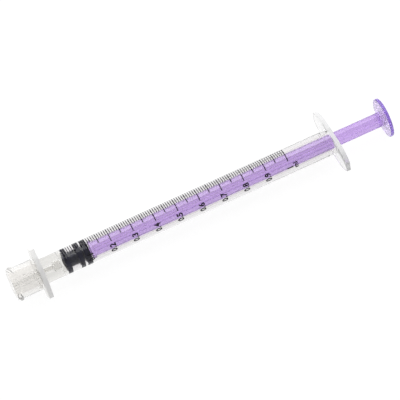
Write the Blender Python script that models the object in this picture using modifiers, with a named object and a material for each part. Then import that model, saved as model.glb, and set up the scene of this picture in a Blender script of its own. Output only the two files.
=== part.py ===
"""A 1 ml oral syringe with a low-dose tip connector, lying on a table.

Metres, +Z up.  +X runs along the syringe from its tip to its thumb rest.  The origin is under
the middle of the syringe, on the surface that it lies on.

Every piece is drawn upright about its own Z axis, with its heights counted from the 0 ml line
and growing towards the thumb rest.  One empty then lays them all down along +X.
"""
import math

import bmesh
import bpy

MM = 0.001

# Barrel tube.  One millilitre takes 57.5 mm of the bore.
STROKE_PER_ML = 57.5 * MM
BORE_RADIUS = math.sqrt(1000.0 * MM ** 3 / (math.pi * STROKE_PER_ML))
TUBE_RADIUS = 3.06 * MM
NECK_RADIUS = 3.12 * MM
NECK_TOP = -3.2 * MM
CHAMBER_END = -1.50 * MM
CHAMBER_CONE = 0.40 * MM
MOUTH_RADIUS = 2.72 * MM
MOUTH_LEAD_IN = 0.75 * MM
BEAD_RADIUS = 2.31 * MM
BEAD_HEIGHT = 67.9 * MM
BEAD_LENGTH = 0.7 * MM

# Finger flange, an oblong plate with rounded corners at the open end.
FLANGE_BOTTOM = 69.2 * MM
FLANGE_THICKNESS = 1.05 * MM
FLANGE_HALF_LENGTH = 9.0 * MM
FLANGE_HALF_WIDTH = 3.7 * MM
FLANGE_END_HALF_WIDTH = 1.4 * MM
FLANGE_FULLNESS = 3.7
FLANGE_ROLL = math.radians(-17.5)

# Tip connector: collar with two thread lugs, wing plate, socket and inner nozzle.
TIP_FACE = -13.67 * MM
COLLAR_RADIUS = 3.84 * MM
COLLAR_CHAMFER = 0.22 * MM
COLLAR_TOP = -6.3 * MM
WING_BOTTOM = -6.93 * MM
WING_THICKNESS = 1.15 * MM
WING_HALF_LENGTH = 6.2 * MM
WING_HALF_WIDTH = 4.05 * MM
WING_END_HALF_WIDTH = 1.9 * MM
WING_FULLNESS = 2.0
WING_ROLL = math.radians(31.0)
PLATE_EDGE = 0.14 * MM
LUG_RADIUS = 4.25 * MM
LUG_SPAN = math.radians(76.0)
LUG_PITCH = 4.0 * MM
LUG_MIDDLE = -12.60 * MM
LUG_ROOT_WIDTH = 1.20 * MM
LUG_CREST_WIDTH = 0.6 * MM
LUG_STEPS = 14
SOCKET_MOUTH_RADIUS = 2.95 * MM
SOCKET_FLOOR_RADIUS = 2.80 * MM
SOCKET_FLOOR = -6.5 * MM
NOZZLE_TIP_RADIUS = 1.22 * MM
NOZZLE_ROOT_RADIUS = 1.35 * MM
NOZZLE_TIP = -13.35 * MM
CHANNEL_RADIUS = 0.5 * MM
WELL_RADIUS = 1.05 * MM
WELL_END = -3.0 * MM
WELL_CONE = 0.3 * MM
CUT_PAST = 0.6 * MM

# Stopper: a soft cup with three sealing ribs.
STOPPER_NOSE = -0.66 * MM
STOPPER_SHOULDER = -0.35 * MM
STOPPER_NOSE_RADIUS = 0.45 * MM
STOPPER_SEAL_RADIUS = 2.318 * MM
STOPPER_CORE_RADIUS = 1.80 * MM
STOPPER_RIBS = ((-0.35 * MM, 0.90 * MM), (3.00 * MM, 4.16 * MM), (4.60 * MM, 6.05 * MM))
RIB_ROUNDING = 0.10 * MM
CAVITY_END = 1.30 * MM
CAVITY_SHOULDER = 2.00 * MM
CAVITY_TOP = 3.90 * MM
CAVITY_RADIUS = 1.30 * MM
THROAT_RADIUS = 0.86 * MM
THROAT_BOTTOM = 4.35 * MM

# Plunger rod: thumb disc, cross-shaped shaft, front disc and the snap head in the stopper.
THUMB_BOTTOM = 83.18 * MM
THUMB_TOP = 83.95 * MM
THUMB_RADIUS = 4.86 * MM
THUMB_EDGE = 0.16 * MM
SHAFT_HALF_SPAN = 1.80 * MM
SHAFT_RIB_THICKNESS = 1.45 * MM
SHAFT_ROLL = math.radians(-24.0)
SHAFT_ROOT = 0.25 * MM
FRONT_DISC_BOTTOM = 6.35 * MM
FRONT_DISC_TOP = 7.20 * MM
FRONT_DISC_RADIUS = 2.24 * MM
FRONT_DISC_EDGE = 0.10 * MM
NECK_POST_RADIUS = 0.78 * MM
HEAD_RADIUS = 1.22 * MM
HEAD_TOP = 3.82 * MM
HEAD_UNDERCUT = 4.28 * MM
HEAD_SHOULDER = 2.10 * MM
HEAD_NOSE = 1.60 * MM
HEAD_NOSE_RADIUS = 0.55 * MM

# The syringe rests on its thumb disc, one side of its flange and one side of its wing plate.
AXIS_HEIGHT = THUMB_RADIUS
MIDDLE = (TIP_FACE + THUMB_TOP) / 2

ROUND_STEPS = 64
OUTLINE_STEPS = 28
MERGE_DISTANCE = 1e-6
SHARP_ANGLE = math.radians(35.0)


def clear_scene():
    """Remove whatever the file already holds."""
    for item in list(bpy.data.objects):
        bpy.data.objects.remove(item, do_unlink=True)


def new_collection(name):
    """Make a collection in the scene."""
    collection = bpy.data.collections.new(name)
    bpy.context.scene.collection.children.link(collection)
    return collection


def plastic(name, colour, roughness, alpha=1.0, transmission=0.0):
    """Make a moulded plastic or rubber material."""
    material = bpy.data.materials.new(name)
    material.use_nodes = True
    shader = material.node_tree.nodes["Principled BSDF"]
    shader.inputs["Base Color"].default_value = (*colour, 1.0)
    shader.inputs["Roughness"].default_value = roughness
    shader.inputs["Metallic"].default_value = 0.0
    shader.inputs["Alpha"].default_value = alpha
    shader.inputs["Transmission Weight"].default_value = transmission
    return material


def place(item, collection, axis):
    """Link an object and hang it on the empty that lays the syringe down."""
    collection.objects.link(item)
    item.parent = axis


def turned(name, outline, collection, axis):
    """Turn (radius, height) points about Z; the outline runs down the outer side."""
    mesh = bpy.data.meshes.new(name)
    shape = bmesh.new()
    points = [shape.verts.new((radius, 0.0, height)) for radius, height in outline]
    for first, second in zip(points, points[1:]):
        shape.edges.new((first, second))
    shape.to_mesh(mesh)
    shape.free()
    item = bpy.data.objects.new(name, mesh)
    place(item, collection, axis)
    screw = item.modifiers.new("turn", "SCREW")
    screw.axis = "Z"
    screw.steps = ROUND_STEPS
    screw.render_steps = ROUND_STEPS
    screw.use_merge_vertices = True
    screw.merge_threshold = MERGE_DISTANCE
    screw.use_smooth_shade = True
    return item


def mesh_of_curve(curve_item, collection, axis):
    """Swap a filled curve for a welded mesh object, which a Boolean can use."""
    bpy.context.view_layer.update()
    graph = bpy.context.evaluated_depsgraph_get()
    mesh = bpy.data.meshes.new_from_object(curve_item.evaluated_get(graph))
    shape = bmesh.new()
    shape.from_mesh(mesh)
    bmesh.ops.remove_doubles(shape, verts=shape.verts, dist=MERGE_DISTANCE)
    shape.to_mesh(mesh)
    shape.free()
    item = bpy.data.objects.new(curve_item.name + "_mesh", mesh)
    matrix = curve_item.matrix_world.copy()
    collection.objects.link(item)
    item.matrix_world = matrix
    bpy.data.objects.remove(curve_item, do_unlink=True)
    item.parent = axis
    return item


def extruded(name, outline, bottom, top, roll, collection, axis):
    """Extrude a closed (x, y) outline from one height to another, rolled about Z."""
    curve = bpy.data.curves.new(name, "CURVE")
    curve.dimensions = "2D"
    curve.fill_mode = "BOTH"
    curve.extrude = (top - bottom) / 2
    spline = curve.splines.new("POLY")
    spline.points.add(len(outline) - 1)
    for point, (x, y) in zip(spline.points, outline):
        point.co = (x, y, 0.0, 1.0)
    spline.use_cyclic_u = True
    item = bpy.data.objects.new(name, curve)
    collection.objects.link(item)
    item.location = (0.0, 0.0, (bottom + top) / 2)
    item.rotation_euler = (0.0, 0.0, roll)
    return mesh_of_curve(item, collection, axis)


def plate_outline(half_length, half_width, end_half_width, fullness):
    """Oblong along Y, widest in the middle, with narrower flat ends."""
    side = []
    for step in range(OUTLINE_STEPS + 1):
        along = math.cos(math.pi * step / OUTLINE_STEPS)
        width = half_width - (half_width - end_half_width) * abs(along) ** fullness
        side.append((width, half_length * along))
    other_side = [(-x, -y) for x, y in side]
    return side + other_side


def cross_outline(half_span, rib_thickness):
    """Outline of a plus sign."""
    half_rib = rib_thickness / 2
    outline = []
    for quarter in range(4):
        turn = quarter * math.pi / 2
        for x, y in ((half_span, -half_rib), (half_span, half_rib), (half_rib, half_rib)):
            turned_x = x * math.cos(turn) - y * math.sin(turn)
            turned_y = x * math.sin(turn) + y * math.cos(turn)
            outline.append((turned_x, turned_y))
    return outline


def soften(item, width):
    """Round the rim of a plate."""
    bevel = item.modifiers.new("soft edge", "BEVEL")
    bevel.width = width
    bevel.segments = 2
    bevel.limit_method = "ANGLE"
    bevel.angle_limit = math.radians(50.0)


def combine(item, tool, operation):
    """Join or cut an object with a tool object."""
    boolean = item.modifiers.new(operation.lower() + " " + tool.name, "BOOLEAN")
    boolean.operation = operation
    boolean.solver = "EXACT"
    boolean.object = tool


def finish(item, material):
    """Give a piece its material and mark its sharp edges."""
    item.data.materials.append(material)
    item.data.shade_smooth()
    item.data.set_sharp_from_angle(angle=SHARP_ANGLE)


def thread_lug(name, start_angle, collection, axis):
    """One helical lug on the collar, which rises from nothing and runs out again."""
    root = COLLAR_RADIUS - 0.3 * MM
    shape = bmesh.new()
    rings = []
    for step in range(LUG_STEPS + 1):
        share = step / LUG_STEPS
        angle = start_angle + (share - 0.5) * LUG_SPAN
        middle = LUG_MIDDLE + LUG_PITCH * (share - 0.5) * LUG_SPAN / (2 * math.pi)
        rise = math.sin(math.pi * share) ** 0.35 if 0 < share < 1 else 0.0
        crest = COLLAR_RADIUS - 0.05 * MM + (LUG_RADIUS - COLLAR_RADIUS + 0.05 * MM) * rise
        section = (
            (root, middle - LUG_ROOT_WIDTH / 2),
            (crest, middle - LUG_CREST_WIDTH / 2),
            (crest, middle + LUG_CREST_WIDTH / 2),
            (root, middle + LUG_ROOT_WIDTH / 2),
        )
        ring = []
        for radius, height in section:
            corner = (radius * math.cos(angle), radius * math.sin(angle), height)
            ring.append(shape.verts.new(corner))
        rings.append(ring)
    for first, second in zip(rings, rings[1:]):
        for corner in range(4):
            following = (corner + 1) % 4
            shape.faces.new((first[corner], first[following], second[following], second[corner]))
    shape.faces.new(rings[0])
    shape.faces.new(rings[-1])
    bmesh.ops.recalc_face_normals(shape, faces=shape.faces)
    mesh = bpy.data.meshes.new(name)
    shape.to_mesh(mesh)
    shape.free()
    item = bpy.data.objects.new(name, mesh)
    place(item, collection, axis)
    return item


def barrel_outside():
    """Solid outline of the tube and the tip collar."""
    tube_top = FLANGE_BOTTOM + FLANGE_THICKNESS / 2
    return [
        (0.0, tube_top),
        (TUBE_RADIUS, tube_top),
        (TUBE_RADIUS, NECK_TOP),
        (NECK_RADIUS, COLLAR_TOP),
        (COLLAR_RADIUS, COLLAR_TOP),
        (COLLAR_RADIUS, TIP_FACE + COLLAR_CHAMFER),
        (COLLAR_RADIUS - COLLAR_CHAMFER, TIP_FACE),
        (0.0, TIP_FACE),
    ]


def barrel_inside():
    """Bore, retaining bead, chamber end, well and the fine channel through the nozzle."""
    mouth = FLANGE_BOTTOM + FLANGE_THICKNESS
    past_mouth = mouth + CUT_PAST
    return [
        (0.0, past_mouth),
        (MOUTH_RADIUS, past_mouth),
        (MOUTH_RADIUS, mouth),
        (BORE_RADIUS, mouth - MOUTH_LEAD_IN),
        (BORE_RADIUS, BEAD_HEIGHT + BEAD_LENGTH / 2),
        (BEAD_RADIUS, BEAD_HEIGHT),
        (BORE_RADIUS, BEAD_HEIGHT - BEAD_LENGTH / 2),
        (BORE_RADIUS, CHAMBER_END + CHAMBER_CONE),
        (WELL_RADIUS, CHAMBER_END),
        (WELL_RADIUS, WELL_END),
        (CHANNEL_RADIUS, WELL_END - WELL_CONE),
        (CHANNEL_RADIUS, TIP_FACE - CUT_PAST),
        (0.0, TIP_FACE - CUT_PAST),
    ]


def tip_socket():
    """Ring-shaped socket that leaves the nozzle standing inside the collar."""
    past_tip = TIP_FACE - CUT_PAST
    return [
        (0.0, NOZZLE_TIP),
        (NOZZLE_TIP_RADIUS, NOZZLE_TIP),
        (NOZZLE_ROOT_RADIUS, SOCKET_FLOOR),
        (SOCKET_FLOOR_RADIUS, SOCKET_FLOOR),
        (SOCKET_MOUTH_RADIUS, TIP_FACE),
        (SOCKET_MOUTH_RADIUS, past_tip),
        (0.0, past_tip),
    ]


def make_barrel(parts, cutters, axis):
    """Tube, finger flange, wing plate, collar, lugs and nozzle, moulded as one piece."""
    barrel = turned("barrel", barrel_outside(), parts, axis)
    flange_shape = plate_outline(
        FLANGE_HALF_LENGTH, FLANGE_HALF_WIDTH, FLANGE_END_HALF_WIDTH, FLANGE_FULLNESS
    )
    flange_top = FLANGE_BOTTOM + FLANGE_THICKNESS
    flange = extruded(
        "flange", flange_shape, FLANGE_BOTTOM, flange_top, FLANGE_ROLL, cutters, axis
    )
    wing_shape = plate_outline(
        WING_HALF_LENGTH, WING_HALF_WIDTH, WING_END_HALF_WIDTH, WING_FULLNESS
    )
    wing_top = WING_BOTTOM + WING_THICKNESS
    wing = extruded("wing", wing_shape, WING_BOTTOM, wing_top, WING_ROLL, cutters, axis)
    for plate in (flange, wing):
        soften(plate, PLATE_EDGE)
        combine(barrel, plate, "UNION")
    for side in (0, 1):
        angle = WING_ROLL + math.pi / 2 + side * math.pi
        lug = thread_lug("lug_%d" % side, angle, cutters, axis)
        combine(barrel, lug, "UNION")
    combine(barrel, turned("bore", barrel_inside(), cutters, axis), "DIFFERENCE")
    combine(barrel, turned("socket", tip_socket(), cutters, axis), "DIFFERENCE")
    finish(barrel, plastic("clear_plastic", (0.90, 0.90, 0.88), 0.18, 0.45, 0.6))
    return barrel


def stopper_outline():
    """Cavity for the snap head, then the ribbed outside down to the nose."""
    outline = [
        (0.0, CAVITY_END),
        (HEAD_NOSE_RADIUS, CAVITY_END),
        (CAVITY_RADIUS, CAVITY_SHOULDER),
        (CAVITY_RADIUS, CAVITY_TOP),
        (THROAT_RADIUS, THROAT_BOTTOM),
        (THROAT_RADIUS, STOPPER_RIBS[-1][1]),
    ]
    for bottom, top in reversed(STOPPER_RIBS):
        outline += [
            (STOPPER_SEAL_RADIUS - RIB_ROUNDING, top),
            (STOPPER_SEAL_RADIUS, top - RIB_ROUNDING),
            (STOPPER_SEAL_RADIUS, bottom + RIB_ROUNDING),
            (STOPPER_SEAL_RADIUS - RIB_ROUNDING, bottom),
        ]
        if bottom > STOPPER_SHOULDER:
            outline.append((STOPPER_CORE_RADIUS, bottom))
            lower_ribs = [rib_top for _, rib_top in STOPPER_RIBS if rib_top < bottom]
            outline.append((STOPPER_CORE_RADIUS, max(lower_ribs)))
    outline += [(STOPPER_NOSE_RADIUS, STOPPER_NOSE), (0.0, STOPPER_NOSE)]
    return outline


def make_stopper(parts, axis):
    """Rubber stopper, which the rod pushes and pulls."""
    stopper = turned("stopper", stopper_outline(), parts, axis)
    finish(stopper, plastic("black_rubber", (0.012, 0.012, 0.016), 0.45))
    return stopper


def rod_front():
    """Front disc, neck post and snap head."""
    return [
        (0.0, FRONT_DISC_TOP),
        (FRONT_DISC_RADIUS - FRONT_DISC_EDGE, FRONT_DISC_TOP),
        (FRONT_DISC_RADIUS, FRONT_DISC_TOP - FRONT_DISC_EDGE),
        (FRONT_DISC_RADIUS, FRONT_DISC_BOTTOM + FRONT_DISC_EDGE),
        (FRONT_DISC_RADIUS - FRONT_DISC_EDGE, FRONT_DISC_BOTTOM),
        (NECK_POST_RADIUS, FRONT_DISC_BOTTOM),
        (NECK_POST_RADIUS, HEAD_UNDERCUT),
        (HEAD_RADIUS, HEAD_TOP),
        (HEAD_RADIUS, HEAD_SHOULDER),
        (HEAD_NOSE_RADIUS, HEAD_NOSE),
        (0.0, HEAD_NOSE),
    ]


def thumb_disc():
    """Round thumb rest with a softened rim."""
    return [
        (0.0, THUMB_TOP),
        (THUMB_RADIUS - THUMB_EDGE, THUMB_TOP),
        (THUMB_RADIUS, THUMB_TOP - THUMB_EDGE),
        (THUMB_RADIUS, THUMB_BOTTOM + THUMB_EDGE),
        (THUMB_RADIUS - THUMB_EDGE, THUMB_BOTTOM),
        (0.0, THUMB_BOTTOM),
    ]


def make_plunger_rod(parts, cutters, axis):
    """Cross-shaped shaft between the thumb disc and the snap head, moulded as one piece."""
    rod = turned("plunger_rod", rod_front(), parts, axis)
    shaft = extruded(
        "shaft",
        cross_outline(SHAFT_HALF_SPAN, SHAFT_RIB_THICKNESS),
        FRONT_DISC_TOP - SHAFT_ROOT,
        THUMB_BOTTOM + SHAFT_ROOT,
        SHAFT_ROLL,
        cutters,
        axis,
    )
    combine(rod, shaft, "UNION")
    combine(rod, turned("thumb_disc", thumb_disc(), cutters, axis), "UNION")
    finish(rod, plastic("purple_plastic", (0.42, 0.22, 0.72), 0.30, 0.85, 0.3))
    return rod


def main():
    """Build the syringe."""
    clear_scene()
    parts = new_collection("oral_syringe")
    cutters = new_collection("cutters")
    axis = bpy.data.objects.new("syringe_axis", None)
    parts.objects.link(axis)
    axis.location = (-MIDDLE, 0.0, AXIS_HEIGHT)
    axis.rotation_euler = (0.0, math.pi / 2, 0.0)
    make_barrel(parts, cutters, axis)
    make_stopper(parts, axis)
    make_plunger_rod(parts, cutters, axis)
    for cutter in cutters.objects:
        cutter.hide_render = True
        cutter.display_type = "WIRE"


main()
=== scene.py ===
"""The looks of a 1 ml oral syringe with a low-dose tip connector, lying on a pale table.

Metres, +Z up, +X from the tip to the thumb rest.  Every piece is drawn upright about its own Z
axis, with its heights counted from the 0 ml line and growing towards the thumb rest, and is
then laid down along +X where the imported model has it.
"""
import math

import bmesh
import bpy
from mathutils import Matrix, Vector


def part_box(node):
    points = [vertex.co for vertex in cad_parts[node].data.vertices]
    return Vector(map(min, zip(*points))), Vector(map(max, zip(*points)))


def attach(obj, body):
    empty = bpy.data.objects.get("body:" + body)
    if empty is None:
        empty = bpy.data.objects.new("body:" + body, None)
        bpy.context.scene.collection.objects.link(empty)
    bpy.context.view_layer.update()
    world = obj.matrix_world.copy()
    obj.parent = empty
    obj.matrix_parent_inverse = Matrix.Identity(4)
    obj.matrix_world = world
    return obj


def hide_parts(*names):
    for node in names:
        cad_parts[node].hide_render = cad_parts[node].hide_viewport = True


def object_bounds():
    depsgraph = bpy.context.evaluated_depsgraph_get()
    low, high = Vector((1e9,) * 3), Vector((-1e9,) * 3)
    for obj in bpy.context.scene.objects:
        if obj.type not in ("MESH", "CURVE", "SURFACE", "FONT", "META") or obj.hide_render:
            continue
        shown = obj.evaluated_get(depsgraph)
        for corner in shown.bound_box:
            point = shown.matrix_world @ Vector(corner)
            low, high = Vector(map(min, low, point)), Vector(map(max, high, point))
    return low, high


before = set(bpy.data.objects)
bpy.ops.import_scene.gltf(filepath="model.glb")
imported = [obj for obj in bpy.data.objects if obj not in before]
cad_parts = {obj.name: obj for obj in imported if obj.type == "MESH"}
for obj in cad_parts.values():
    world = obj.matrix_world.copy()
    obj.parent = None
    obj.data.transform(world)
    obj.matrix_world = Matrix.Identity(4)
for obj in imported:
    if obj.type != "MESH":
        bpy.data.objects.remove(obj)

MM = 0.001
CAD_LOW, CAD_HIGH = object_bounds()

# Barrel tube, in metres.
SCALE_LENGTH = 57.5 * MM
BORE_RADIUS = 2.353 * MM
TUBE_RADIUS = 3.06 * MM
NECK_RADIUS = 3.12 * MM
NECK_TOP = -3.2 * MM
CHAMBER_END = -1.50 * MM
CHAMBER_CONE = 0.12 * MM
MOUTH_RADIUS = 2.72 * MM
MOUTH_LEAD_IN = 0.75 * MM
MOUTH_ROUNDING = 0.15 * MM
BEAD_RADIUS = 2.31 * MM
BEAD_HEIGHT = 67.9 * MM
BEAD_LENGTH = 0.7 * MM

# Finger flange and wing plate.
FLANGE_BOTTOM = 69.2 * MM
FLANGE_THICKNESS = 1.05 * MM
FLANGE_SHAPE = (9.0 * MM, 3.7 * MM, 1.4 * MM, 3.7)
FLANGE_ROLL = math.radians(-17.5)
WING_BOTTOM = -6.93 * MM
WING_THICKNESS = 1.15 * MM
WING_SHAPE = (6.2 * MM, 4.05 * MM, 1.9 * MM, 2.0)
WING_ROLL = math.radians(31.0)
PLATE_EDGE = 0.16 * MM
ROOT_FILLET = 0.30 * MM

# Tip connector.
TIP_FACE = -13.67 * MM
COLLAR_RADIUS = 3.84 * MM
COLLAR_EDGE = 0.22 * MM
COLLAR_FILLET = 0.15 * MM
LUG_RADIUS = 4.25 * MM
LUG_SPAN = math.radians(76.0)
LUG_PITCH = 4.0 * MM
LUG_MIDDLE = -12.60 * MM
LUG_ROOT_WIDTH = 1.20 * MM
LUG_CREST_WIDTH = 0.6 * MM
LUG_SINK = 0.05 * MM
LUG_ROOT_DEPTH = 0.3 * MM
LUG_TOP = -11.5 * MM
LUG_ROW = 0.06 * MM
LUG_FULLNESS = 0.35
SOCKET_MOUTH_RADIUS = 2.95 * MM
SOCKET_FLOOR_RADIUS = 2.80 * MM
SOCKET_FLOOR = -6.5 * MM
NOZZLE_TIP_RADIUS = 1.22 * MM
NOZZLE_ROOT_RADIUS = 1.35 * MM
NOZZLE_TIP = -13.35 * MM
CHANNEL_RADIUS = 0.5 * MM
WELL_RADIUS = 1.05 * MM
WELL_END = -3.0 * MM
WELL_CONE = 0.3 * MM

# Stopper.  Its ribs press a hair's breadth into the bore, as the real rubber does.
STOPPER_NOSE = -0.66 * MM
STOPPER_NOSE_RADIUS = 0.45 * MM
STOPPER_SEAL_RADIUS = 2.358 * MM
STOPPER_CORE_RADIUS = 1.80 * MM
STOPPER_RIBS = ((-0.35 * MM, 0.90 * MM), (3.00 * MM, 4.16 * MM), (4.60 * MM, 6.05 * MM))
RIB_ROUNDING = 0.09 * MM
CAVITY_END = 1.30 * MM
CAVITY_SHOULDER = 2.00 * MM
CAVITY_TOP = 3.90 * MM
CAVITY_RADIUS = 1.30 * MM
THROAT_RADIUS = 0.86 * MM
THROAT_BOTTOM = 4.35 * MM

# Plunger rod.
THUMB_BOTTOM = 83.18 * MM
THUMB_TOP = 83.95 * MM
THUMB_RADIUS = 4.859 * MM
THUMB_EDGE = 0.22 * MM
SHAFT_HALF_SPAN = 1.80 * MM
SHAFT_RIB_THICKNESS = 1.45 * MM
SHAFT_EDGE = 0.14 * MM
SHAFT_ROLL = math.radians(-24.0)
SHAFT_ROOT = 0.10 * MM
SHAFT_FLARE = 0.25 * MM
FRONT_DISC_BOTTOM = 6.35 * MM
FRONT_DISC_TOP = 7.20 * MM
FRONT_DISC_RADIUS = 2.24 * MM
FRONT_DISC_EDGE = 0.12 * MM
NECK_POST_RADIUS = 0.78 * MM
HEAD_RADIUS = 1.22 * MM
HEAD_TOP = 3.82 * MM
HEAD_UNDERCUT = 4.28 * MM
HEAD_SHOULDER = 2.10 * MM
HEAD_NOSE = 1.60 * MM
HEAD_NOSE_RADIUS = 0.55 * MM

# Printed scale.  Angles run round the barrel from straight up towards -Y.
INK_SINK = 0.004 * MM
INK_HEIGHT = 0.016 * MM
TICK_WIDTH = 0.175 * MM
LONG_TICK_WIDTH = 0.23 * MM
TICK_START = math.radians(-60.0)
TICK_END_MINOR = math.radians(-14.2)
TICK_END_MIDDLE = math.radians(4.1)
TICK_END_MAJOR = math.radians(20.5)
TICK_ARC_STEP = math.radians(4.0)
NUMERAL_MIDDLE = math.radians(53.1)
NUMERAL_ARC = math.radians(41.8)
NUMERAL_HEIGHT = 1.56 * MM
UNIT_MIDDLE = math.radians(50.5)
UNIT_HEIGHT = 1.2 * MM
UNIT_STATION = 59.0 * MM
GLYPH_STRIP = 0.12 * MM

# Glyphs, in the text's own units: steps along a curve, widening of the strokes, spacing, half depth
# and the longest edge that cleaning may close.
GLYPH_STEPS = 7
GLYPH_BOLDNESS = 0.036
GLYPH_SPACING = 1.05
GLYPH_HALF_DEPTH = 0.5
GLYPH_WELD = 1e-5
GLYPH_CLEANING = 0.001

# Camera: direction from the syringe, distance, lens and the point that it looks at.
CAMERA_AZIMUTH = math.radians(-25.9)
CAMERA_ELEVATION = math.radians(68.5)
CAMERA_DISTANCE = 0.650
CAMERA_LENS = 248.5
CAMERA_STATION = 34.99 * MM
CAMERA_RISE = 0.13 * MM

# Clear plastic: the share of light that each part scatters, the tube's colours face-on and aslant,
# the same for the other round parts, and the plain colours laid over them in this order.
CLEAR_IOR = 1.42
CLEAR_HAZES = (
    ("collar", 0.15),
    ("solid", 0.15),
    ("flange", 0.50),
    ("rim", 0.85),
    ("wing", 0.90),
    ("lugs", 0.70),
)
TUBE_COLOUR = (1.0, 1.0, 0.995)
WALL_COLOUR = (0.66, 0.635, 0.65)
ROUND_COLOURS = (
    ("collar", (0.975, 0.965, 0.945), (0.81, 0.79, 0.76)),
    ("solid", (0.72, 0.705, 0.67), (0.61, 0.60, 0.565)),
    ("chamber", (0.78, 0.77, 0.745), (0.67, 0.66, 0.635)),
)
PLAIN_COLOURS = (
    ("flange", (0.90, 0.90, 0.90)),
    ("rim", (0.68, 0.68, 0.685)),
    ("wing", (0.55, 0.545, 0.54)),
    ("wing_rim", (0.76, 0.755, 0.75)),
    ("lugs", (0.80, 0.79, 0.77)),
    ("inside", (1.0, 1.0, 1.0)),
)
PLATE_REACH = (TUBE_RADIUS + 0.1 * MM, TUBE_RADIUS + 0.4 * MM)
MASK_SOFTNESS = 0.1 * MM
RIM_SOFTNESS = 0.03 * MM

# Slants at which the deeper colours begin and are full, from 0 face-on to 1 edge-on.
WALL_SLANT = (0.10, 0.28)
THICK_SLANT = (0.03, 0.09)
SHAFT_SLANT = (0.25, 0.50)
SLANT_END = (0.50, 0.80)

# Purple plastic: along the shaft, at its slanting sides, in the thumb disc and round its rim.
PURPLE_IOR = 1.45
PURPLE_DEEP = (0.585, 0.40, 0.82)
PURPLE_PALE = (0.65, 0.455, 0.86)
PURPLE_EDGE = (0.42, 0.27, 0.66)
PURPLE_DISC = (0.79, 0.67, 0.97)
PURPLE_RIM = (0.27, 0.15, 0.71)
SHAFT_CLARITY = 0.95
DISC_CLARITY = 0.72
THUMB_RIM_REACH = (THUMB_RADIUS - 0.30 * MM, THUMB_RADIUS - 0.10 * MM)

# Black rubber and printing ink, at their darkest and palest.
RUBBER_DARK = (0.014, 0.014, 0.030)
RUBBER_PALE = (0.020, 0.020, 0.042)
INK_DARK = (0.003, 0.002, 0.006)
INK_PALE = (0.014, 0.012, 0.018)

# Light panels: name, edges in degrees from straight up towards +Y, and radiance.
PANELS = (("softbox", 8.0, 45.0, 1.55), ("side_fill", 45.0, 82.0, 1.35))
PANEL_DISTANCE = 1.0
PANEL_LENGTH = 3.0
ROOM_TOP_RADIANCE = 0.36
ROOM_SIDE_RADIANCE = 1.0
TABLE_COLOUR = 0.11
TABLE_GLOW = 0.92

# Steps round each piece and along its curves, and the small end cap where rows meet the axis.
BARREL_STEPS = 288
STOPPER_STEPS = 144
ROD_STEPS = 288
OUTLINE_STEPS = 48
RIM_STEPS = 6
ROUNDING_STEPS = 6
ROUNDING_SHARE = 0.48
POLE_RADIUS = 0.05 * MM
MERGE_DISTANCE = 1e-6
SHARP_ANGLE = math.radians(32.0)

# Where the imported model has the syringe's axis and its 0 ml line.
DISC_LOW, DISC_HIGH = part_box("plunger_rod")
ZERO_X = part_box("barrel")[0].x - TIP_FACE
AXIS_Y = (DISC_LOW.y + DISC_HIGH.y) / 2
AXIS_Z = (DISC_LOW.z + DISC_HIGH.z) / 2
LAY_DOWN = Matrix.Translation((ZERO_X, AXIS_Y, AXIS_Z)) @ Matrix.Rotation(math.pi / 2, 4, "Y")


def new_object(name, mesh):
    """Make an object and link it to the scene."""
    item = bpy.data.objects.new(name, mesh)
    bpy.context.scene.collection.objects.link(item)
    return item


def object_from_bmesh(name, shape):
    """Turn a bmesh into an object and free it."""
    mesh = bpy.data.meshes.new(name)
    shape.to_mesh(mesh)
    shape.free()
    return new_object(name, mesh)


def rounded(corners):
    """Round the corners of a line given as (x, y, rounding) corners."""
    points = [corners[0][:2]]
    for before, corner, after in zip(corners, corners[1:], corners[2:]):
        middle = Vector(corner[:2])
        back = Vector(before[:2]) - middle
        ahead = Vector(after[:2]) - middle
        reach = min(corner[2], ROUNDING_SHARE * back.length, ROUNDING_SHARE * ahead.length)
        if reach < MERGE_DISTANCE:
            points.append(tuple(middle))
            continue
        first = middle + back.normalized() * reach
        last = middle + ahead.normalized() * reach
        for step in range(ROUNDING_STEPS + 1):
            share = step / ROUNDING_STEPS
            point = (
                first * (1 - share) ** 2 + middle * 2 * share * (1 - share) + last * share ** 2
            )
            points.append(tuple(point))
    points.append(corners[-1][:2])
    return points


def rounded_loop(corners):
    """Round the corners of a closed outline."""
    return rounded([corners[-1], *corners, corners[0]])[1:-1]


def around(count):
    """Evenly spread angles round the axis."""
    return [2 * math.pi * step / count for step in range(count)]


def reach_along(outline, angles, roll):
    """Distance from the axis to a closed outline, rolled about the axis, at each angle."""
    reaches = []
    edges = list(zip(outline, [*outline[1:], outline[0]]))
    for angle in angles:
        x, y = math.cos(angle - roll), math.sin(angle - roll)
        for start, end in edges:
            if x * start[1] - y * start[0] <= 0 < x * end[1] - y * end[0]:
                run = (end[0] - start[0], end[1] - start[1])
                outward = start[0] * run[1] - start[1] * run[0]
                reaches.append(outward / (x * run[1] - y * run[0]))
                break
    return reaches


def skinned(name, rows, angles, closed=False):
    """Skin (reach, height) rows round Z, down the outer side; a reach may be one per angle."""
    count = len(angles)
    corners = []
    for reach, height in rows:
        radii = reach if isinstance(reach, list) else [reach] * count
        for radius, angle in zip(radii, angles):
            corners.append((radius * math.cos(angle), radius * math.sin(angle), height))
    faces = []
    for row in range(len(rows) if closed else len(rows) - 1):
        upper = row * count
        lower = (row + 1) % len(rows) * count
        for step in range(count):
            after = (step + 1) % count
            faces.append((upper + step, lower + step, lower + after, upper + after))
    if not closed:
        faces.append(tuple(range(count)))
        faces.append(tuple(reversed(range(len(corners) - count, len(corners)))))
    mesh = bpy.data.meshes.new(name)
    mesh.from_pydata(corners, [], faces)
    return new_object(name, mesh)


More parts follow.
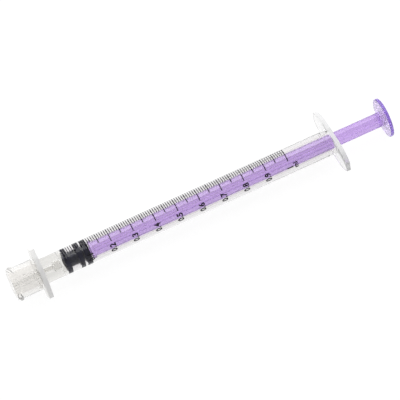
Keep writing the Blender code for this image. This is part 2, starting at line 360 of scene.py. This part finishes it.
def plate_outline(half_length, half_width, end_half_width, fullness):
    """Oblong along Y, widest in the middle, with narrower flat ends."""
    side = []
    for step in range(OUTLINE_STEPS + 1):
        along = -math.cos(math.pi * step / OUTLINE_STEPS)
        width = half_width - (half_width - end_half_width) * abs(along) ** fullness
        side.append((width, half_length * along))
    return side + [(-x, -y) for x, y in side]


def cross_outline(half_span, rib_thickness, edge, root):
    """Outline of a plus sign with softened ribs."""
    half_rib = rib_thickness / 2
    corners = []
    for quarter in range(4):
        turn = quarter * math.pi / 2
        for x, y, rounding in (
            (half_span, -half_rib, edge), (half_span, half_rib, edge), (half_rib, half_rib, root)
        ):
            turned_x = x * math.cos(turn) - y * math.sin(turn)
            turned_y = x * math.sin(turn) + y * math.cos(turn)
            corners.append((turned_x, turned_y, rounding))
    return rounded_loop(corners)


def plate_rim(reaches, bottom, top):
    """Rows round a plate's rim from its top to its bottom face, with softened edges."""
    rows = []
    for middle, quarter in ((top - PLATE_EDGE, 0), (bottom + PLATE_EDGE, 1)):
        for step in range(RIM_STEPS + 1):
            turn = math.pi / 2 * (1 - quarter - step / RIM_STEPS)
            inset = PLATE_EDGE * (1 - math.cos(turn))
            height = middle + PLATE_EDGE * math.sin(turn)
            rows.append(([reach - inset for reach in reaches], height))
    return rows


def lug_reach(angle, height):
    """Radius of the collar's outside, where two helical lugs stand out of it."""
    reach = COLLAR_RADIUS
    for side in (0, 1):
        middle = WING_ROLL + math.pi / 2 + side * math.pi
        turn = (angle - middle + math.pi) % (2 * math.pi) - math.pi
        if abs(turn) >= LUG_SPAN / 2:
            continue
        rise = math.cos(math.pi * turn / LUG_SPAN) ** LUG_FULLNESS
        crest = COLLAR_RADIUS - LUG_SINK + (LUG_RADIUS - COLLAR_RADIUS + LUG_SINK) * rise
        centre = LUG_MIDDLE + LUG_PITCH * turn / (2 * math.pi)
        flank = max(0.0, abs(height - centre) - LUG_CREST_WIDTH / 2)
        slope = (crest - COLLAR_RADIUS + LUG_ROOT_DEPTH) / (LUG_ROOT_WIDTH - LUG_CREST_WIDTH) * 2
        reach = max(reach, crest - flank * slope)
    return reach


def collar_rows(angles):
    """Rows down the collar's outside, close together where the lugs are."""
    rows = []
    count = math.ceil((LUG_TOP - TIP_FACE - COLLAR_EDGE) / LUG_ROW)
    for step in range(count + 1):
        height = LUG_TOP + (TIP_FACE + COLLAR_EDGE - LUG_TOP) * step / count
        rows.append(([lug_reach(angle, height) for angle in angles], height))
    return rows


def inner_rows():
    """Rows from the collar's face through the socket, nozzle, channel and bore to the mouth."""
    mouth = FLANGE_BOTTOM + FLANGE_THICKNESS
    return rounded([
        (COLLAR_RADIUS, TIP_FACE + COLLAR_EDGE, 0),
        (COLLAR_RADIUS, TIP_FACE, COLLAR_EDGE),
        (SOCKET_MOUTH_RADIUS, TIP_FACE, 0.12 * MM),
        (SOCKET_FLOOR_RADIUS, SOCKET_FLOOR, 0.25 * MM),
        (NOZZLE_ROOT_RADIUS, SOCKET_FLOOR, 0.25 * MM),
        (NOZZLE_TIP_RADIUS, NOZZLE_TIP, 0.18 * MM),
        (CHANNEL_RADIUS, NOZZLE_TIP, 0.08 * MM),
        (CHANNEL_RADIUS, WELL_END - WELL_CONE, 0.1 * MM),
        (WELL_RADIUS, WELL_END, 0.1 * MM),
        (WELL_RADIUS, CHAMBER_END, 0.1 * MM),
        (BORE_RADIUS, CHAMBER_END + CHAMBER_CONE, 0.12 * MM),
        (BORE_RADIUS, BEAD_HEIGHT - BEAD_LENGTH / 2, 0.15 * MM),
        (BEAD_RADIUS, BEAD_HEIGHT, 0.2 * MM),
        (BORE_RADIUS, BEAD_HEIGHT + BEAD_LENGTH / 2, 0.15 * MM),
        (BORE_RADIUS, mouth - MOUTH_LEAD_IN, 0.25 * MM),
        (MOUTH_RADIUS, mouth, MOUTH_ROUNDING),
        (MOUTH_RADIUS + MOUTH_ROUNDING, mouth, 0),
    ])[1:-1]


def barrel_rows(angles):
    """Rows round the whole moulding: mouth, flange, tube, wing, collar, and back up inside."""
    mouth = FLANGE_BOTTOM + FLANGE_THICKNESS
    wing_top = WING_BOTTOM + WING_THICKNESS
    flange = reach_along(plate_outline(*FLANGE_SHAPE), angles, FLANGE_ROLL)
    wing = reach_along(plate_outline(*WING_SHAPE), angles, WING_ROLL)
    rows = [(MOUTH_RADIUS + MOUTH_ROUNDING, mouth)]
    rows += plate_rim(flange, FLANGE_BOTTOM, mouth)
    rows += rounded([
        (TUBE_RADIUS + ROOT_FILLET, FLANGE_BOTTOM, 0),
        (TUBE_RADIUS, FLANGE_BOTTOM, ROOT_FILLET),
        (TUBE_RADIUS, NECK_TOP, 1.0 * MM),
        (NECK_RADIUS, wing_top, ROOT_FILLET),
        (NECK_RADIUS + ROOT_FILLET, wing_top, 0),
    ])
    rows += plate_rim(wing, WING_BOTTOM, wing_top)
    rows += rounded([
        (COLLAR_RADIUS + COLLAR_FILLET, WING_BOTTOM, 0),
        (COLLAR_RADIUS, WING_BOTTOM, COLLAR_FILLET),
        (COLLAR_RADIUS, LUG_TOP + LUG_ROW, 0),
    ])
    return rows + collar_rows(angles) + inner_rows()


def stopper_rows():
    """Cavity for the snap head, then the ribbed outside down to the nose."""
    corners = [
        (POLE_RADIUS, CAVITY_END, 0),
        (HEAD_NOSE_RADIUS, CAVITY_END, 0.1 * MM),
        (CAVITY_RADIUS, CAVITY_SHOULDER, 0.15 * MM),
        (CAVITY_RADIUS, CAVITY_TOP, 0.1 * MM),
        (THROAT_RADIUS, THROAT_BOTTOM, 0.1 * MM),
        (THROAT_RADIUS, STOPPER_RIBS[-1][1], 0.05 * MM),
    ]
    lowest = STOPPER_RIBS[0][0]
    for index in reversed(range(len(STOPPER_RIBS))):
        bottom, top = STOPPER_RIBS[index]
        corners.append((STOPPER_SEAL_RADIUS, top, RIB_ROUNDING))
        corners.append((STOPPER_SEAL_RADIUS, bottom, RIB_ROUNDING))
        if bottom > lowest:
            corners.append((STOPPER_CORE_RADIUS, bottom, 0.08 * MM))
            corners.append((STOPPER_CORE_RADIUS, STOPPER_RIBS[index - 1][1], 0.08 * MM))
    corners.append((STOPPER_NOSE_RADIUS, STOPPER_NOSE, 0.25 * MM))
    corners.append((POLE_RADIUS, STOPPER_NOSE, 0))
    return rounded(corners)


def rod_rows(angles):
    """Thumb disc, cross-shaped shaft, front disc, neck post and snap head."""
    outline = cross_outline(SHAFT_HALF_SPAN, SHAFT_RIB_THICKNESS, SHAFT_EDGE, SHAFT_ROOT)
    shaft = reach_along(outline, angles, SHAFT_ROLL)
    rows = rounded([
        (THUMB_RADIUS - THUMB_EDGE, THUMB_TOP, 0),
        (THUMB_RADIUS, THUMB_TOP, THUMB_EDGE),
        (THUMB_RADIUS, THUMB_BOTTOM, THUMB_EDGE),
        (SHAFT_HALF_SPAN + 2 * SHAFT_FLARE, THUMB_BOTTOM, 0),
    ])
    for step in range(RIM_STEPS + 1):
        turn = math.pi / 2 * step / RIM_STEPS
        flare = SHAFT_FLARE * (1 - math.sin(turn))
        height = THUMB_BOTTOM - SHAFT_FLARE * (1 - math.cos(turn))
        rows.append(([reach + flare for reach in shaft], height))
    rows.append((shaft, FRONT_DISC_TOP))
    rows += rounded([
        (FRONT_DISC_RADIUS - FRONT_DISC_EDGE, FRONT_DISC_TOP, 0),
        (FRONT_DISC_RADIUS, FRONT_DISC_TOP, FRONT_DISC_EDGE),
        (FRONT_DISC_RADIUS, FRONT_DISC_BOTTOM, FRONT_DISC_EDGE),
        (NECK_POST_RADIUS, FRONT_DISC_BOTTOM, 0.1 * MM),
        (NECK_POST_RADIUS, HEAD_UNDERCUT, 0.1 * MM),
        (HEAD_RADIUS, HEAD_TOP, 0.15 * MM),
        (HEAD_RADIUS, HEAD_SHOULDER, 0.15 * MM),
        (HEAD_NOSE_RADIUS, HEAD_NOSE, 0.2 * MM),
        (POLE_RADIUS, HEAD_NOSE, 0),
    ])
    return rows


def on_barrel(angle, radius, station):
    """A point over the barrel; the angle runs from straight up towards -Y."""
    return Vector((-radius * math.cos(angle), -radius * math.sin(angle), station))


def add_tick(shape, station, start, end, width):
    """Add one printed line, a thin closed arc across the barrel."""
    steps = max(2, math.ceil((end - start) / TICK_ARC_STEP))
    inner = TUBE_RADIUS - INK_SINK
    outer = TUBE_RADIUS + INK_HEIGHT
    rings = []
    for step in range(steps + 1):
        angle = start + (end - start) * step / steps
        section = (
            (inner, station - width / 2),
            (outer, station - width / 2),
            (outer, station + width / 2),
            (inner, station + width / 2),
        )
        rings.append([shape.verts.new(on_barrel(angle, *corner)) for corner in section])
    for first, second in zip(rings, rings[1:]):
        for corner in range(4):
            following = (corner + 1) % 4
            shape.faces.new((first[corner], first[following], second[following], second[corner]))
    shape.faces.new(rings[0])
    shape.faces.new(rings[-1])


def make_ticks():
    """A line each 0.01 ml, longer each 0.05 ml and longest each 0.1 ml."""
    shape = bmesh.new()
    for count in range(101):
        end = TICK_END_MINOR
        width = TICK_WIDTH
        if count % 5 == 0:
            end = TICK_END_MIDDLE
            width = LONG_TICK_WIDTH
        if count % 10 == 0:
            end = TICK_END_MAJOR
        add_tick(shape, SCALE_LENGTH * count / 100, TICK_START, end, width)
    bmesh.ops.recalc_face_normals(shape, faces=shape.faces)
    return object_from_bmesh("scale_lines", shape)


def flat_text(words):
    """A filled text mesh, centred on its own box, with its width and height."""
    curve = bpy.data.curves.new(words, "FONT")
    curve.body = words
    curve.resolution_u = GLYPH_STEPS
    curve.extrude = GLYPH_HALF_DEPTH
    curve.space_character = GLYPH_SPACING
    curve.offset = GLYPH_BOLDNESS
    item = new_object("glyphs", curve)
    bpy.context.view_layer.update()
    graph = bpy.context.evaluated_depsgraph_get()
    mesh = bpy.data.meshes.new_from_object(item.evaluated_get(graph))
    bpy.data.objects.remove(item, do_unlink=True)
    shape = bmesh.new()
    shape.from_mesh(mesh)
    bmesh.ops.remove_doubles(shape, verts=shape.verts, dist=GLYPH_WELD)
    xs = [vertex.co.x for vertex in shape.verts]
    ys = [vertex.co.y for vertex in shape.verts]
    middle = Vector(((min(xs) + max(xs)) / 2, (min(ys) + max(ys)) / 2, 0.0))
    bmesh.ops.translate(shape, verts=shape.verts, vec=-middle)
    return shape, max(xs) - min(xs), max(ys) - min(ys)


def wrap_text(words, angle, station, scale_x, scale_y):
    """Lay a text on the barrel; it reads from -Y to +Y with its top towards the tip."""
    shape, width, _ = flat_text(words)
    strip = GLYPH_STRIP / scale_x
    cuts = math.ceil(width / strip)
    for cut in range(1, cuts):
        everything = list(shape.verts) + list(shape.edges) + list(shape.faces)
        place = Vector((-width / 2 + cut * width / cuts, 0.0, 0.0))
        bmesh.ops.bisect_plane(
            shape, geom=everything, dist=MERGE_DISTANCE, plane_co=place, plane_no=(1.0, 0.0, 0.0)
        )
    bmesh.ops.dissolve_degenerate(shape, dist=GLYPH_CLEANING, edges=shape.edges)
    for vertex in shape.verts:
        x, y, z = vertex.co
        radius = TUBE_RADIUS + (INK_HEIGHT if z > 0 else -INK_SINK)
        vertex.co = on_barrel(angle - x * scale_x / TUBE_RADIUS, radius, station - y * scale_y)
    return object_from_bmesh("glyphs", shape)


def make_numerals():
    """The numerals 0.1 to 1 beside the longest lines, and the unit below the last."""
    shape, width, height = flat_text("0.5")
    shape.free()
    scale_x = NUMERAL_ARC * TUBE_RADIUS / width
    scale_y = NUMERAL_HEIGHT / height
    pieces = []
    for tenth in range(1, 11):
        words = "1" if tenth == 10 else "0.%d" % tenth
        station = SCALE_LENGTH * tenth / 10
        pieces.append(wrap_text(words, NUMERAL_MIDDLE, station, scale_x, scale_y))
    shape, width, height = flat_text("ml")
    shape.free()
    unit_scale = UNIT_HEIGHT / height
    pieces.append(wrap_text("ml", UNIT_MIDDLE, UNIT_STATION, unit_scale, unit_scale))
    joined = bmesh.new()
    for piece in pieces:
        joined.from_mesh(piece.data)
        bpy.data.objects.remove(piece, do_unlink=True)
    return object_from_bmesh("scale_numerals", joined)


def shader_of(name, colour, roughness, **sockets):
    """A material with a Principled shader; its uniform values sit on the shader's sockets."""
    material = bpy.data.materials.new(name)
    material.use_nodes = True
    nodes = material.node_tree.nodes
    shader = nodes["Principled BSDF"]
    shader.inputs["Base Color"].default_value = (*colour, 1.0)
    shader.inputs["Roughness"].default_value = roughness
    for socket, value in sockets.items():
        shader.inputs[socket.replace("_", " ")].default_value = value
    return material, nodes, material.node_tree.links, shader


def noise_at(nodes, links, scale, stretch=(1.0, 1.0, 1.0), detail=3.0):
    """Noise over the object's own coordinates, with a stretch along each axis."""
    place = nodes.new("ShaderNodeTexCoord")
    mapping = nodes.new("ShaderNodeMapping")
    mapping.inputs["Scale"].default_value = stretch
    noise = nodes.new("ShaderNodeTexNoise")
    noise.inputs["Scale"].default_value = scale
    noise.inputs["Detail"].default_value = detail
    links.new(place.outputs["Object"], mapping.inputs["Vector"])
    links.new(mapping.outputs["Vector"], noise.inputs["Vector"])
    return noise.outputs["Fac"]


def remap(nodes, links, source, start, end, low=0.0, high=1.0):
    """Go from one value to another as the source goes from start to end."""
    ramp = nodes.new("ShaderNodeMapRange")
    ramp.inputs["From Min"].default_value = start
    ramp.inputs["From Max"].default_value = end
    ramp.inputs["To Min"].default_value = low
    ramp.inputs["To Max"].default_value = high
    links.new(source, ramp.inputs["Value"])
    return ramp.outputs["Result"]


def spread(nodes, links, noise, low, high):
    """Map noise to a range."""
    return remap(nodes, links, noise, 0.3, 0.7, low, high)


def feed(links, sockets, values):
    """Give each socket its plain value or its link."""
    for socket, value in zip(sockets, values):
        if isinstance(value, float):
            socket.default_value = value
        elif isinstance(value, tuple):
            socket.default_value = (*value, 1.0)
        else:
            links.new(value, socket)


def blend(nodes, links, share, below, above):
    """Lay one colour over another by a share."""
    mix = nodes.new("ShaderNodeMix")
    mix.data_type = "RGBA"
    links.new(share, mix.inputs["Factor"])
    feed(links, (mix.inputs["A"], mix.inputs["B"]), (below, above))
    return mix.outputs["Result"]


def arithmetic(nodes, links, operation, first, second):
    """One maths step between two values or outputs."""
    step = nodes.new("ShaderNodeMath")
    step.operation = operation
    feed(links, step.inputs, (first, second))
    return step.outputs["Value"]


def bumped(nodes, links, shader, source, distance, strength=1.0):
    """Drive a shader's normal with a height."""
    bump = nodes.new("ShaderNodeBump")
    bump.inputs["Strength"].default_value = strength
    bump.inputs["Distance"].default_value = distance
    links.new(source, bump.inputs["Height"])
    links.new(bump.outputs["Normal"], shader.inputs["Normal"])


def from_axis(nodes, links, place):
    """Distance of a point from the syringe's axis."""
    flat = nodes.new("ShaderNodeCombineXYZ")
    links.new(place.outputs["Y"], flat.inputs["Y"])
    links.new(place.outputs["Z"], flat.inputs["Z"])
    across = nodes.new("ShaderNodeVectorMath")
    across.operation = "DISTANCE"
    across.inputs[1].default_value = (0.0, AXIS_Y, AXIS_Z)
    links.new(flat.outputs["Vector"], across.inputs[0])
    return across.outputs["Value"]


def position(nodes, links):
    """The object's own coordinates, apart."""
    place = nodes.new("ShaderNodeTexCoord")
    parts = nodes.new("ShaderNodeSeparateXYZ")
    links.new(place.outputs["Object"], parts.inputs["Vector"])
    return parts


def inner_side(nodes):
    """1 where a surface is met from inside the material."""
    return nodes.new("ShaderNodeNewGeometry").outputs["Backfacing"]


def aslant(nodes, links, slant):
    """0 to 1 as a surface turns from face-on towards edge-on; 0 again at the very edge."""
    facing = nodes.new("ShaderNodeLayerWeight")
    facing.inputs["Blend"].default_value = 0.5
    inner = remap(nodes, links, facing.outputs["Facing"], *slant)
    outer = remap(nodes, links, facing.outputs["Facing"], *reversed(SLANT_END))
    return arithmetic(nodes, links, "MULTIPLY", inner, outer)


def band_mask(nodes, links, height, bottom, top, softness):
    """1 between two heights, with soft ends."""
    away = arithmetic(nodes, links, "SUBTRACT", height, (bottom + top) / 2)
    away = arithmetic(nodes, links, "ABSOLUTE", away, 0.0)
    half = (top - bottom) / 2
    return remap(nodes, links, away, half, half - softness)


def plate_masks(nodes, links, height, reach):
    """Masks outside the tube: the flange, its rim alone, the wing, and its rim alone."""
    wing_top = WING_BOTTOM + WING_THICKNESS
    flange_top = FLANGE_BOTTOM + FLANGE_THICKNESS
    outside = remap(nodes, links, reach, *PLATE_REACH)
    masks = {
        "flange": remap(nodes, links, height, FLANGE_BOTTOM - MASK_SOFTNESS, FLANGE_BOTTOM),
        "rim": band_mask(nodes, links, height, FLANGE_BOTTOM, flange_top, RIM_SOFTNESS),
        "wing": band_mask(
            nodes, links, height, WING_BOTTOM - MASK_SOFTNESS, wing_top + MASK_SOFTNESS,
            0.9 * MASK_SOFTNESS
        ),
        "wing_rim": band_mask(nodes, links, height, WING_BOTTOM, wing_top, RIM_SOFTNESS),
    }
    return {
        part: arithmetic(nodes, links, "MULTIPLY", mask, outside) for part, mask in masks.items()
    }


def barrel_masks(nodes, links):
    """Masks of the barrel's parts by height and reach, and of its surfaces met from inside."""
    place = position(nodes, links)
    height = arithmetic(nodes, links, "SUBTRACT", place.outputs["X"], ZERO_X)
    reach = from_axis(nodes, links, place)
    masks = plate_masks(nodes, links, height, reach)
    masks["collar"] = remap(nodes, links, height, WING_BOTTOM + MASK_SOFTNESS, WING_BOTTOM)
    masks["solid"] = band_mask(nodes, links, height, WING_BOTTOM, CHAMBER_END, MASK_SOFTNESS)
    masks["chamber"] = band_mask(
        nodes, links, height, CHAMBER_END - MASK_SOFTNESS, STOPPER_RIBS[0][0], MASK_SOFTNESS
    )
    lugs = remap(nodes, links, reach, COLLAR_RADIUS, COLLAR_RADIUS + MASK_SOFTNESS)
    masks["lugs"] = arithmetic(nodes, links, "MULTIPLY", lugs, masks["collar"])
    masks["inside"] = inner_side(nodes)
    return masks


def clear_haze(nodes, links, masks):
    """The share of light scattered by each part, at its outer side only."""
    haze = 0.0
    for part, share in CLEAR_HAZES:
        milky = arithmetic(nodes, links, "MULTIPLY", masks[part], share)
        haze = arithmetic(nodes, links, "MAXIMUM", milky, haze)
    outside = arithmetic(nodes, links, "SUBTRACT", 1.0, masks["inside"])
    return arithmetic(nodes, links, "MULTIPLY", haze, outside)


def clear_colour(nodes, links, masks):
    """The colour of each part, deeper where the light crosses more of it."""
    wall = aslant(nodes, links, WALL_SLANT)
    thick = aslant(nodes, links, THICK_SLANT)
    colour = blend(nodes, links, wall, TUBE_COLOUR, WALL_COLOUR)
    for part, face_on, edge_on in ROUND_COLOURS:
        deeper = blend(nodes, links, thick, face_on, edge_on)
        colour = blend(nodes, links, masks[part], colour, deeper)
    for part, plain in PLAIN_COLOURS:
        colour = blend(nodes, links, masks[part], colour, plain)
    return colour


def clear_plastic():
    """Natural polypropylene: see-through where thin, milky where thick."""
    material, nodes, links, shader = shader_of(
        "clear_polypropylene", (0.97, 0.965, 0.95), 0.03, IOR=CLEAR_IOR
    )
    masks = barrel_masks(nodes, links)
    haze = clear_haze(nodes, links, masks)
    through = arithmetic(nodes, links, "SUBTRACT", 1.0, haze)
    links.new(through, shader.inputs["Transmission Weight"])
    links.new(clear_colour(nodes, links, masks), shader.inputs["Base Color"])
    flow = noise_at(nodes, links, 260.0, (0.25, 1.0, 1.0))
    links.new(spread(nodes, links, flow, 0.01, 0.04), shader.inputs["Roughness"])
    ripple = noise_at(nodes, links, 420.0, (0.15, 1.0, 1.0), 2.0)
    bumped(nodes, links, shader, ripple, 0.003 * MM, 0.2)
    return material


def thumb_masks(nodes, links):
    """Masks of the thumb disc, and of its rim where it is met from outside."""
    place = position(nodes, links)
    bottom = ZERO_X + THUMB_BOTTOM
    disc = remap(nodes, links, place.outputs["X"], bottom - SHAFT_FLARE, bottom)
    reach = from_axis(nodes, links, place)
    rim = remap(nodes, links, reach, *THUMB_RIM_REACH)
    outside = arithmetic(nodes, links, "SUBTRACT", 1.0, inner_side(nodes))
    return disc, arithmetic(nodes, links, "MULTIPLY", rim, outside)


def purple_plastic():
    """Pale purple polypropylene, half see-through."""
    material, nodes, links, shader = shader_of(
        "purple_polypropylene", PURPLE_PALE, 0.20, IOR=PURPLE_IOR
    )
    disc, rim = thumb_masks(nodes, links)
    cloud = noise_at(nodes, links, 140.0, (0.2, 1.0, 1.0))
    colour = blend(nodes, links, cloud, PURPLE_DEEP, PURPLE_PALE)
    colour = blend(nodes, links, aslant(nodes, links, SHAFT_SLANT), colour, PURPLE_EDGE)
    colour = blend(nodes, links, disc, colour, PURPLE_DISC)
    links.new(blend(nodes, links, rim, colour, PURPLE_RIM), shader.inputs["Base Color"])
    clarity = remap(nodes, links, disc, 0.0, 1.0, SHAFT_CLARITY, DISC_CLARITY)
    links.new(clarity, shader.inputs["Transmission Weight"])
    flow = noise_at(nodes, links, 500.0, (0.15, 1.0, 1.0))
    links.new(spread(nodes, links, flow, 0.14, 0.24), shader.inputs["Roughness"])
    bumped(nodes, links, shader, flow, 0.006 * MM, 0.12)
    return material


def black_rubber():
    """Oiled black rubber with a fine grain."""
    material, nodes, links, shader = shader_of(
        "black_rubber", RUBBER_DARK, 0.5, Specular_IOR_Level=0.15
    )
    cloud = noise_at(nodes, links, 700.0)
    links.new(blend(nodes, links, cloud, RUBBER_DARK, RUBBER_PALE), shader.inputs["Base Color"])
    links.new(spread(nodes, links, cloud, 0.40, 0.60), shader.inputs["Roughness"])
    grain = noise_at(nodes, links, 4200.0)
    bumped(nodes, links, shader, grain, 0.01 * MM, 0.6)
    return material


def black_ink():
    """Screen-printed ink, slightly uneven."""
    material, nodes, links, shader = shader_of("black_ink", INK_DARK, 0.6, IOR=1.3)
    patch = noise_at(nodes, links, 2600.0)
    links.new(blend(nodes, links, patch, INK_DARK, INK_PALE), shader.inputs["Base Color"])
    links.new(spread(nodes, links, patch, 0.50, 0.70), shader.inputs["Roughness"])
    bumped(nodes, links, shader, patch, 0.004 * MM, 0.6)
    return material


def finish_piece(item, material, body, replaced=()):
    """Lay a piece down, shade it, and hang it on its body."""
    item.data.transform(LAY_DOWN)
    item.data.materials.clear()
    item.data.materials.append(material)
    item.data.shade_smooth()
    item.data.set_sharp_from_angle(angle=SHARP_ANGLE)
    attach(item, body)
    if replaced:
        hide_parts(*replaced)


def make_barrel(material):
    """Tube, finger flange, wing plate, collar, lugs and nozzle, as one moulding."""
    angles = around(BARREL_STEPS)
    barrel = skinned("barrel_moulding", barrel_rows(angles), angles, closed=True)
    finish_piece(barrel, material, "barrel", ["barrel"])


def make_stopper(material):
    """Rubber stopper with three sealing ribs."""
    stopper = skinned("rubber_stopper", stopper_rows(), around(STOPPER_STEPS))
    finish_piece(stopper, material, "stopper", ["stopper"])


def make_rod(material):
    """Thumb disc, cross-shaped shaft, front disc and snap head, as one moulding."""
    angles = around(ROD_STEPS)
    rod = skinned("purple_rod", rod_rows(angles), angles)
    finish_piece(rod, material, "plunger_rod", ["plunger_rod"])


def make_scale(material):
    """Printed lines and numerals on the barrel."""
    for item in (make_ticks(), make_numerals()):
        finish_piece(item, material, "barrel")


def make_stage():
    """Pale table top, lit so evenly that shadows stay faint."""
    shape = bmesh.new()
    bmesh.ops.create_grid(shape, x_segments=1, y_segments=1, size=2.0)
    floor = object_from_bmesh("table_top", shape)
    floor.location = (0.0, 0.0, CAD_LOW.z - 0.02 * MM)
    material, _, _, shader = shader_of("pale_table", (TABLE_COLOUR,) * 3, 0.9)
    shader.inputs["Emission Color"].default_value = (1.0, 1.0, 1.0, 1.0)
    shader.inputs["Emission Strength"].default_value = TABLE_GLOW
    floor.data.materials.append(material)


def make_panel(name, near, far, radiance):
    """A long light panel between two angles from straight up towards +Y."""
    light = bpy.data.lights.new(name, "AREA")
    light.shape = "RECTANGLE"
    middle = (near + far) / 2
    light.size = PANEL_LENGTH
    light.size_y = 2 * PANEL_DISTANCE * math.tan((far - near) / 2)
    light.energy = radiance * math.pi * light.size * light.size_y
    item = new_object(name, light)
    item.location = (0.0, PANEL_DISTANCE * math.sin(middle), PANEL_DISTANCE * math.cos(middle))
    item.rotation_euler = (-middle, 0.0, 0.0)


def make_lights():
    """A large softbox behind and above, and a pale room."""
    for name, near, far, radiance in PANELS:
        make_panel(name, math.radians(near), math.radians(far), radiance)
    world = bpy.data.worlds.new("pale_room")
    world.use_nodes = True
    nodes, links = world.node_tree.nodes, world.node_tree.links
    place = nodes.new("ShaderNodeTexCoord")
    parts = nodes.new("ShaderNodeSeparateXYZ")
    links.new(place.outputs["Generated"], parts.inputs["Vector"])
    below_top = arithmetic(nodes, links, "SUBTRACT", 1.0, parts.outputs["Z"])
    curve = arithmetic(nodes, links, "POWER", below_top, 2.0)
    brightness = remap(nodes, links, curve, 0.0, 1.0, ROOM_TOP_RADIANCE, ROOM_SIDE_RADIANCE)
    nodes["Background"].inputs["Color"].default_value = (1.0, 1.0, 1.0, 1.0)
    links.new(brightness, nodes["Background"].inputs["Strength"])
    bpy.context.scene.world = world
    bpy.context.scene.view_settings.view_transform = "Standard"


def make_camera():
    """Upright camera with a long lens, looking down along the syringe from its tip end."""
    toward = Vector((
        math.sin(CAMERA_AZIMUTH) * math.cos(CAMERA_ELEVATION),
        -math.cos(CAMERA_AZIMUTH) * math.cos(CAMERA_ELEVATION),
        math.sin(CAMERA_ELEVATION),
    ))
    turn = (-toward).to_track_quat("-Z", "Y")
    target = Vector((ZERO_X + CAMERA_STATION, AXIS_Y, AXIS_Z)) + turn @ Vector((0, CAMERA_RISE, 0))
    camera = bpy.data.cameras.new("camera")
    camera.lens = CAMERA_LENS
    camera.clip_start = 0.01
    camera.clip_end = 10.0
    item = new_object("camera", camera)
    item.location = target + toward * CAMERA_DISTANCE
    item.rotation_euler = turn.to_euler()
    bpy.context.scene.camera = item


make_camera()
make_stage()
make_lights()
make_barrel(clear_plastic())
make_stopper(black_rubber())
make_rod(purple_plastic())
make_scale(black_ink())
